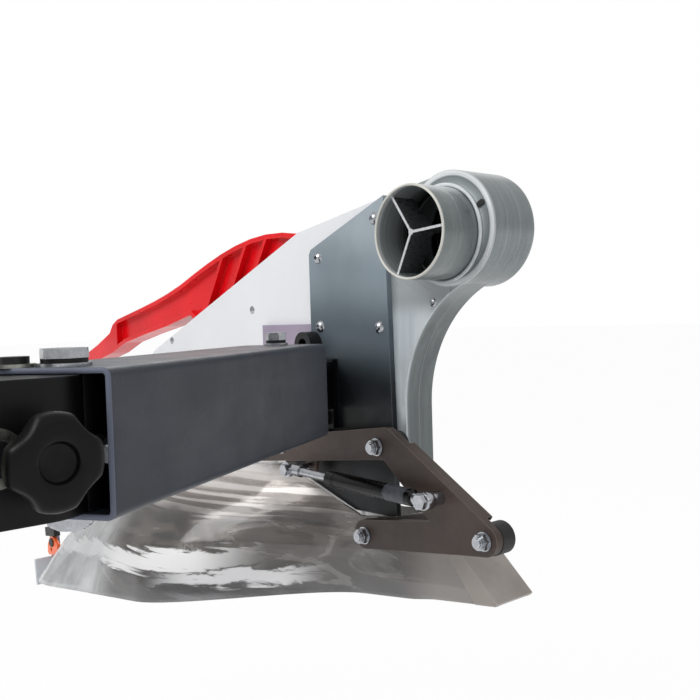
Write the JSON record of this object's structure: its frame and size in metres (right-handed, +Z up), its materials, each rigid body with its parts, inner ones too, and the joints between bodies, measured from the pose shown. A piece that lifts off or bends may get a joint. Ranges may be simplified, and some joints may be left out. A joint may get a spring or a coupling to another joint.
{
  "type": "overhead saw guard",
  "caption": "Overhead guard for a sliding table saw: swivelling boom, narrow white guard body with a suction port, and a clear hood on a lifting carrier.",
  "frame": {"origin": "centre of the base flange's bolt pattern on the face that bears on the saw's upright", "axes": "+Y from the flange along the support arm, +Z up, +X towards the suction duct's side (outfeed)"},
  "size_m": [0.86, 0.8033, 0.4781],
  "materials": {
    "black_paint": "satin powder coat",
    "boom_paint": "satin powder coat",
    "plate_paint": "smooth satin",
    "bracket_paint": "satin",
    "white_paint": "fine texture",
    "brown_paint": "satin",
    "cover_grey": "satin",
    "zinc": "zinc plated",
    "black_steel": "gloss",
    "bronze": "plain",
    "duct_grey": "brushed",
    "red_plastic": "gloss moulded",
    "black_plastic": "satin moulded",
    "orange_plastic": "gloss moulded",
    "rubber": "plain",
    "clear_plastic": "clear moulded sheet"
  },
  "bodies": {
    "support_arm": {"base_flange": "black_paint", "support_arm": "black_paint", "near_pivot_bush": "bronze", "arm_plug": "black_plastic", "arm_plug_washer": "zinc"},
    "knob": {"star_knob": "black_plastic", "knob_stud": "zinc"},
    "boom": {"boom_tube": "boom_paint", "boom_cap": "black_plastic", "boom_cap_washer": "zinc", "near_pivot_bolt": "zinc", "near_disc_spring": "black_steel", "near_pivot_washers": "zinc", "near_pivot_nut": "zinc", "stop_screw": "zinc", "stop_lock_nut": "zinc", "far_pivot_bolt": "zinc", "far_disc_spring": "black_steel", "far_pivot_washers": "zinc", "far_pivot_nut": "zinc"},
    "guard_head": {"swivel_head": "black_paint", "far_pivot_bush": "bronze", "head_screws": "zinc", "mounting_plate": "plate_paint", "plate_screws": "zinc", "head_bracket": "bracket_paint", "head_bracket_screws": "zinc", "near_side_plate": "white_paint", "far_side_plate": "white_paint", "side_plate_screws": "zinc", "distance_tubes": "zinc", "top_strip": "white_paint", "near_duct_shell": "duct_grey", "far_duct_shell": "duct_grey", "duct_cap": "duct_grey", "duct_screws": "zinc", "port_collar": "duct_grey", "front_handle": "red_plastic", "handle_pins": "zinc", "swivel_buffer": "rubber", "gas_spring_lug": "brown_paint", "hinge_pin": "zinc", "hinge_spacer": "black_plastic", "hinge_nut": "zinc"},
    "hood_carrier": {"carrier_plate": "brown_paint", "carrier_bolts": "zinc", "carrier_nuts": "zinc", "carrier_washers": "zinc", "carrier_spacers": "black_plastic", "rear_buffer": "rubber", "spring_bolt": "zinc", "clear_hood": "clear_plastic", "hood_mount_plate": "zinc", "rear_cover": "cover_grey", "catch_bracket": "bracket_paint", "catch_stud": "black_plastic"},
    "gas_rod": {"gas_rod": "zinc"},
    "gas_cylinder": {"gas_cylinder": "black_steel"},
    "catch_lever": {"catch_lever": "orange_plastic"}
  },
  "joints": [
    {"name": "knob_turn", "type": "hinge", "parent": "support_arm", "child": "knob", "pos_m": [0.042, 0.227, -0.003], "axis": [1, 0, 0], "continuous": true},
    {"name": "boom_swivel", "type": "hinge", "parent": "support_arm", "child": "boom", "pos_m": [0, 0.26, 0], "axis": [0, 0, 1], "range_deg": [-4, 35]},
    {"name": "head_swivel", "type": "hinge", "parent": "boom", "child": "guard_head", "pos_m": [-0.15, 0.51981, 0], "axis": [0, 0, 1], "range_deg": [-15, 30]},
    {"name": "hood_lift", "type": "hinge", "parent": "guard_head", "child": "hood_carrier", "pos_m": [-0.119, 0.59981, -0.0555], "axis": [0, 1, 0], "range_deg": [0, 12]},
    {"name": "gas_rod_hinge", "type": "hinge", "parent": "guard_head", "child": "gas_rod", "pos_m": [-0.2258, 0.58981, -0.0843], "axis": [0, 1, 0], "range_deg": [0, 5.09]},
    {"name": "gas_slide", "type": "slide", "parent": "gas_rod", "child": "gas_cylinder", "axis": [0.9991, 0, -0.0435], "range_m": [-0.00815, 0]},
    {"name": "catch_hinge", "type": "hinge", "parent": "hood_carrier", "child": "catch_lever", "pos_m": [-0.73461, 0.56881, -0.23587], "axis": [0, 1, 0], "range_deg": [-35, 35]}
  ],
  "couplings": [
    {"joint": "gas_rod_hinge", "follows": "hood_lift", "ratio": 0.41546},
    {"joint": "gas_slide", "follows": "hood_lift", "m_per_rad": -0.037972}
  ]
}
